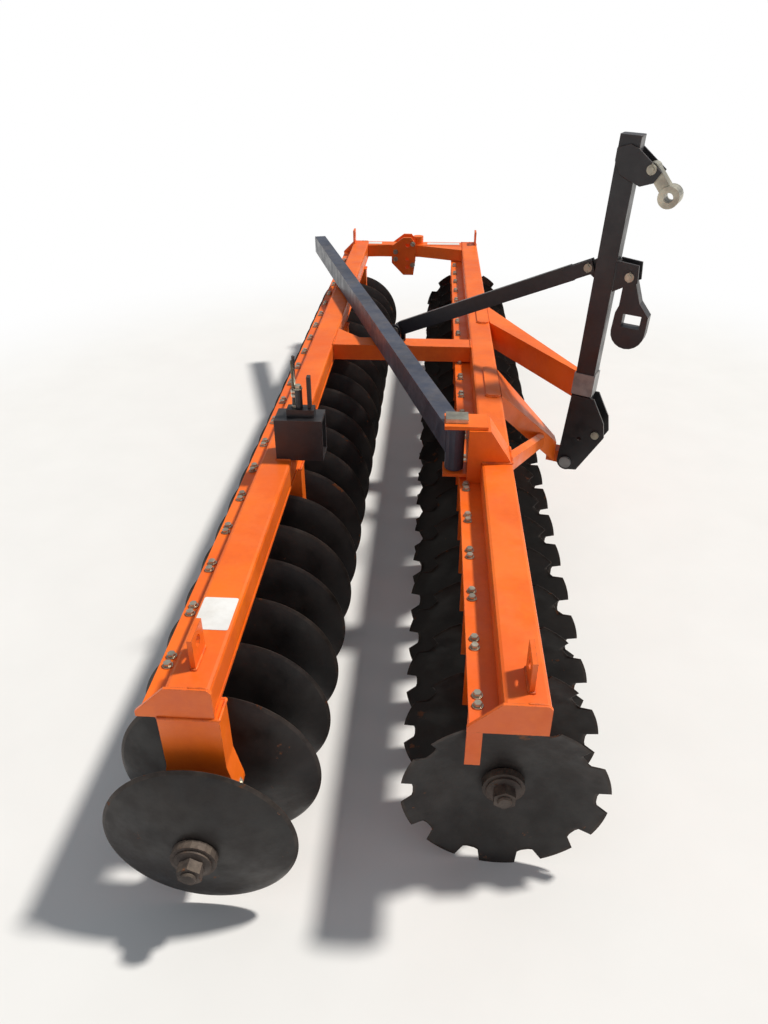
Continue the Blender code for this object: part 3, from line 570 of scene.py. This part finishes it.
# %% Weld bead
def weld(bm, points, radius=0.0045, ripple=0.0065, seed=1):
    """A rippled bead along a path."""
    rng = random.Random(seed)
    steps = []
    for start, end in zip(points, points[1:]):
        start, end = Vector(start), Vector(end)
        count = max(2, round((end - start).length / ripple) * 2)
        steps += [start.lerp(end, i / count) for i in range(count)]
    steps.append(Vector(points[-1]))
    rings = []
    for i, point in enumerate(steps):
        along = (steps[min(i + 1, len(steps) - 1)] - steps[max(i - 1, 0)]).normalized()
        matrix = frame_at(point, along)
        size = radius * (1.12 if i % 2 else 0.86) * rng.uniform(0.92, 1.08)
        if i in (0, len(steps) - 1):
            size *= 0.5
        rings.append([bm.verts.new(matrix @ Vector((size * cos(t * pi / 4), size * sin(t * pi / 4), 0)))
                      for t in range(8)])
    for low, high in zip(rings, rings[1:]):
        for i in range(8):
            bm.faces.new((low[i - 1], low[i], high[i], high[i - 1]))
    bm.faces.new(list(reversed(rings[0])))
    bm.faces.new(rings[-1])


def around_box(low, high, z):
    """Corners of a box's outline at a height, closed."""
    return [(low.x, low.y, z), (high.x, low.y, z), (high.x, high.y, z), (low.x, high.y, z), (low.x, low.y, z)]


# %% Beads on the frame
LEG_W, LEG_D = 0.150, 0.070         # a hanger's leg where it meets the beam
beads = bmesh.new()
for gang in gangs:
    for end in ("near", "far"):
        low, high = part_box(f"{gang}_lug_{end}")
        weld(beads, around_box(low, high, low.z + 0.001), seed=3)
    low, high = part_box(f"{gang}_beam")
    for y in (low.y + 0.008, high.y - 0.008):
        weld(beads, [(high.x - 0.056, y, BEAM_TOP + 0.0005), (high.x - 0.012, y, BEAM_TOP + 0.0005),
                     (high.x - 0.002, y, BEAM_TOP - 0.010), (high.x - 0.002, y, BEAM_TOP - 0.075)],
             0.0032, seed=5)
    for number in (1, 2, 3, 4):
        low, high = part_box(f"{gang}_hanger_{number}")
        middle = (low.x + high.x) / 2
        leg = (low.y, low.y + LEG_D) if gang == "front" else (high.y - LEG_D, high.y)
        corners = [(middle - LEG_W / 2, leg[0]), (middle + LEG_W / 2, leg[0]), (middle + LEG_W / 2, leg[1]),
                   (middle - LEG_W / 2, leg[1]), (middle - LEG_W / 2, leg[0])]
        weld(beads, [(x, y, RAIL_TOP - 0.010) for x, y in corners], seed=number)
low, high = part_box("middle_crossbar")
for x in (low.x, high.x):
    weld(beads, [(x, low.y, low.z + 0.01), (x, low.y, BEAM_TOP), (x, low.y + 0.11, BEAM_TOP)], seed=9)
low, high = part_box("clamp_sleeve")
weld(beads, [(high.x - 0.115, low.y, low.z), (low.x, low.y, low.z), (low.x, high.y, low.z)], seed=11)
low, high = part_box("swing_bracket")
for y in (low.y, high.y):
    weld(beads, [(high.x - 0.001, y, BEAM_TOP + 0.001), (high.x - 0.105, y, BEAM_TOP + 0.001)], 0.005, seed=13)
weld(beads, [(high.x + 0.001, low.y, BEAM_TOP + 0.001), (high.x + 0.001, high.y, BEAM_TOP + 0.001)],
     0.005, seed=14)
beam_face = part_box("front_beam")[1].x - 0.0015 - SHOP.x
for y0, y1, z0 in ((1.640, 1.930, 0.646), (2.600, 2.890, 0.612)):      # both sides of the near and far arm
    for y, seed in ((y0, 15), (y1, 16)):
        weld(beads, [at(beam_face, y, z0), at(beam_face, y, BEAM_TOP - 0.01)], 0.005, seed=seed)
finish_piece("frame_welds", beads, ["weld"], "frame", sharp=80)

# %% [markdown]
# ## Saddle plates
# Where an arm of the drawbar's frame meets the beam, a plate with rounded corners lies on the beam's top to
# spread the load. It is drawn flat as a rounded outline and given thickness, with a weld along one side.


# %% Flat plates with round corners
def rounded_outline(width, height, radius, steps=6):
    """Outline of a rectangle with round corners, counter-clockwise."""
    points = []
    right, top = width / 2 - radius, height / 2 - radius
    for cx, cy, start in ((right, top, 0), (-right, top, 90), (-right, -top, 180), (right, -top, 270)):
        points += [(cx + radius * cos(radians(start + 90 * i / steps)),
                    cy + radius * sin(radians(start + 90 * i / steps))) for i in range(steps + 1)]
    return points


def plate(bm, outline, thickness, matrix, chamfer=0.0008):
    """Plate lying on the matrix's xy plane, its top edge slightly broken."""
    rings = []
    for inset, z in ((0, 0), (0, thickness - chamfer), (chamfer, thickness)):
        ring = []
        for x, y in outline:
            reach = sqrt(x * x + y * y) or 1
            ring.append(bm.verts.new(matrix @ Vector((x * (1 - inset / reach), y * (1 - inset / reach), z))))
        rings.append(ring)
    count = len(outline)
    for low, high in zip(rings, rings[1:]):
        for i in range(count):
            bm.faces.new((low[i - 1], low[i], high[i], high[i - 1]))
    bm.faces.new(list(reversed(rings[0])))
    bm.faces.new(rings[-1])


saddles, bead = bmesh.new(), bmesh.new()
for middle in (1.785, 2.745):
    outline = rounded_outline(0.062, 0.330, 0.022)
    centre = at(0.029, middle, BEAM_TOP + 0.0003)
    plate(saddles, outline, 0.008, Matrix.Translation(centre))
    ring = [centre + Vector((x * 1.06, y * 1.01, 0.001)) for x, y in outline if x < 0.02]
    weld(bead, ring[len(ring) // 2:], 0.004, seed=21)
finish_piece("saddle_plates", saddles, ["orange"], "frame")
finish_piece("saddle_welds", bead, ["weld"], "frame", sharp=80)

# %% [markdown]
# ## Blank plates
# The machine carries a few pale plates where a maker's words would be. They stay blank here: thin plates
# with rounded corners and a weathered surface.

# %% Labels
labels = bmesh.new()
for x, y, width, height in ((-0.7675, 0.165, 0.092, 0.130), (-0.665, 4.372, 0.095, 0.060),
                            (-0.175, 4.372, 0.230, 0.060)):
    plate(labels, rounded_outline(width, height, 0.006), 0.0009,
          Matrix.Translation(at(x, y, BEAM_TOP + 0.0003)), 0.0003)
finish_piece("blank_plates", labels, ["label"], "frame")

# %% [markdown]
# ## Drawbar fittings
# The folded drawbar is a square tube with a welded cap, two cheeks at its foot, and a hitch at its top.
# Its pins are kept by washers and split pins, which are worth making: they say what can be taken apart.


# %% Pins' washers and split pins
def split_pin(bm, matrix, reach=0.020):
    """A bent wire through a pin's end, as a ring and one leg."""
    ring = [matrix @ Vector((0, 0.004 * cos(t), reach + 0.004 * sin(t))) for t in
            (i * pi / 6 for i in range(13))]
    leg = [matrix @ Vector((0, 0, -reach)), matrix @ Vector((0, 0, reach - 0.004))]
    for path in (ring, leg):
        for start, end in zip(path, path[1:]):
            length = (end - start).length
            spin(bm, [(0.0019, 0), (0.0019, length)], frame_at(start, end - start), 8)


def pin_fittings(bm, matrix, half, radius):
    """Washers at both ends of a pin along the matrix's y axis, and a split pin at the near end."""
    for way in (-1, 1):
        spin(bm, [(radius * 1.75, 0), (radius * 1.8, 0.0006), (radius * 1.75, 0.003)],
             matrix @ frame_at(Vector((0, way * half, 0)), (0, way, 0)), 24)
    split_pin(bm, matrix @ Matrix.Translation((0, -half - 0.007, 0)), radius + 0.009)


def drawbar_at(x, y, z):
    return DRAWBAR @ Matrix.Translation((x, y, z))


# %% Hitch, stand and brace pins
hitch = bmesh.new()
pin_fittings(hitch, drawbar_at(0.112, 0, 1.268), 0.0508, 0.0105)
finish_piece("hitch_pin_fittings", hitch, ["zinc"], "hitch_tongue")
stand = bmesh.new()
pin_fittings(stand, drawbar_at(0.112, 0, 0.868), 0.0410, 0.0105)
finish_piece("stand_pin_fittings", stand, ["zinc"], "stand")

brace_low, brace_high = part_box("brace_pin")
brace = bmesh.new()
brace_end = Matrix.Translation((brace_low + brace_high) / 2) @ upright
pin_fittings(brace, brace_end, 0.0222, 0.0100)
finish_piece("brace_pin_fittings", brace, ["zinc"], "brace")

post = bmesh.new()
for way in (-1, 1):
    spin(post, [(0.019, 0), (0.0195, 0.001), (0.019, 0.0035)],
         POST @ frame_at(Vector((0, way * 0.0312, 0)), (0, way, 0)), 24)
finish_piece("post_washers", post, ["zinc"], "frame")

# %% Drawbar: cap and welds
cap = bmesh.new()
plate(cap, rounded_outline(0.084, 0.084, 0.012), 0.006, drawbar_at(0.012, 0, 1.3702))
finish_piece("drawbar_cap", cap, ["black"], "drawbar")

seams = bmesh.new()
for way in (-1, 1):
    weld(seams, [DRAWBAR @ Vector((x, way * 0.0408, z)) for x, z in
                 ((-0.027, 1.285), (0.000, 1.238), (0.051, 1.216))], 0.004, seed=31)
    weld(seams, [DRAWBAR @ Vector((0.0528, way * 0.0395, z)) for z in (0.806, 0.918)], 0.004, seed=32)
    weld(seams, [DRAWBAR @ Vector((-0.0285, way * 0.0070, z)) for z in (0.835, 0.913)], 0.004, seed=33)
finish_piece("drawbar_welds", seams, ["black"], "drawbar", sharp=80)

# %% [markdown]
# ## Swing bar fittings
# The long bar that sets the gangs' opening turns on a stout pin, which a turned collar closes from below. A
# threaded rod on the other beam clamps the bar when it lies in the sleeve there.

# %% Collar under the swing pin
collar = bmesh.new()
low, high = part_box("swing_pin")
middle = (low + high) / 2
spin(collar, [(0.026, 0), (0.026, 0.004), (0.016, 0.010)],
     frame_at(Vector((middle.x - 0.003, middle.y, low.z)), (0, 0, -1)), 24)
finish_piece("swing_pin_fittings", collar, ["zinc"], "frame")

# %% Clamp screw: thread and nuts
THREADS, THREAD_PITCH, THREAD_Z = 70, 0.0023, 0.925
clamp = bmesh.new()
rod_at = at(-0.698, 1.066, 0)
for turn in range(THREADS):
    height = THREAD_Z + turn * THREAD_PITCH
    spin(clamp, [(0.0060, 0), (0.0071, 0.0007), (0.0060, 0.0014)],
         Matrix.Translation((rod_at.x, rod_at.y, height)), 16)
for z, across in ((0.916, 0.020), (0.955, 0.019), (0.9705, 0.019)):
    hex_bolt(clamp, Vector((rod_at.x, rod_at.y, z)), (0, 0, 1), across, 0.011, washer=False)
hex_bolt(clamp, at(-0.684, 1.066, 0.984), (0, 0, 1), 0.022, 0.012)
finish_piece("clamp_nuts", clamp, ["zinc"], "frame")

# %% Bolts of the far coupling plates
coupling = bmesh.new()
for name, way in (("coupling_plate_near", -1), ("coupling_plate_far", 1)):
    low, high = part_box(name)
    y = low.y if way < 0 else high.y
    for x, z in ((-0.515, 0.690), (-0.515, 0.640), (-0.392, 0.600), (-0.392, 0.745)):
        hex_bolt(coupling, Vector((SHOP.x + x, y, z)), (0, way, 0), 0.024, 0.013,
                 stud=0.012 if way > 0 else 0)
finish_piece("coupling_bolts", coupling, ["zinc"], "frame")
